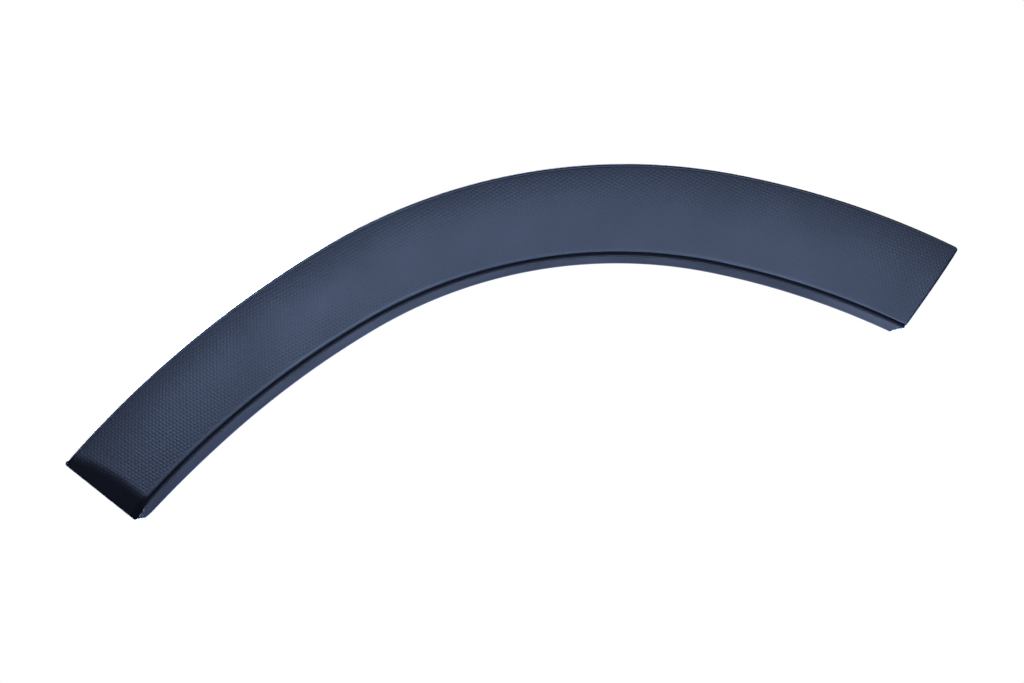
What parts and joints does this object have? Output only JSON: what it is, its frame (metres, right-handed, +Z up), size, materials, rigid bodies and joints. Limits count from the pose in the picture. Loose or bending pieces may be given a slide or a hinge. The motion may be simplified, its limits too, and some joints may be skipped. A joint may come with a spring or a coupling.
{
  "type": "wheel arch trim",
  "caption": "Curved wheel arch trim with a grained convex face, a smooth bead and groove, a wheel-side lip that turns behind the body, and clip towers and pins on its back.",
  "frame": {"origin": "axis of the main locating pin, where it meets the surface of the body side over the wheel", "axes": "+X along the car towards the trim's high end, +Y into the car, so the grained face looks along -Y, +Z up"},
  "size_m": [0.6005, 0.0319, 0.2391],
  "materials": {
    "trim": "dark navy-grey moulded plastic, fine regular grain on the face, smooth satin on the lip, bead and outer rim"
  },
  "bodies": {
    "root": {"arch_trim": "trim"}
  },
  "joints": []
}
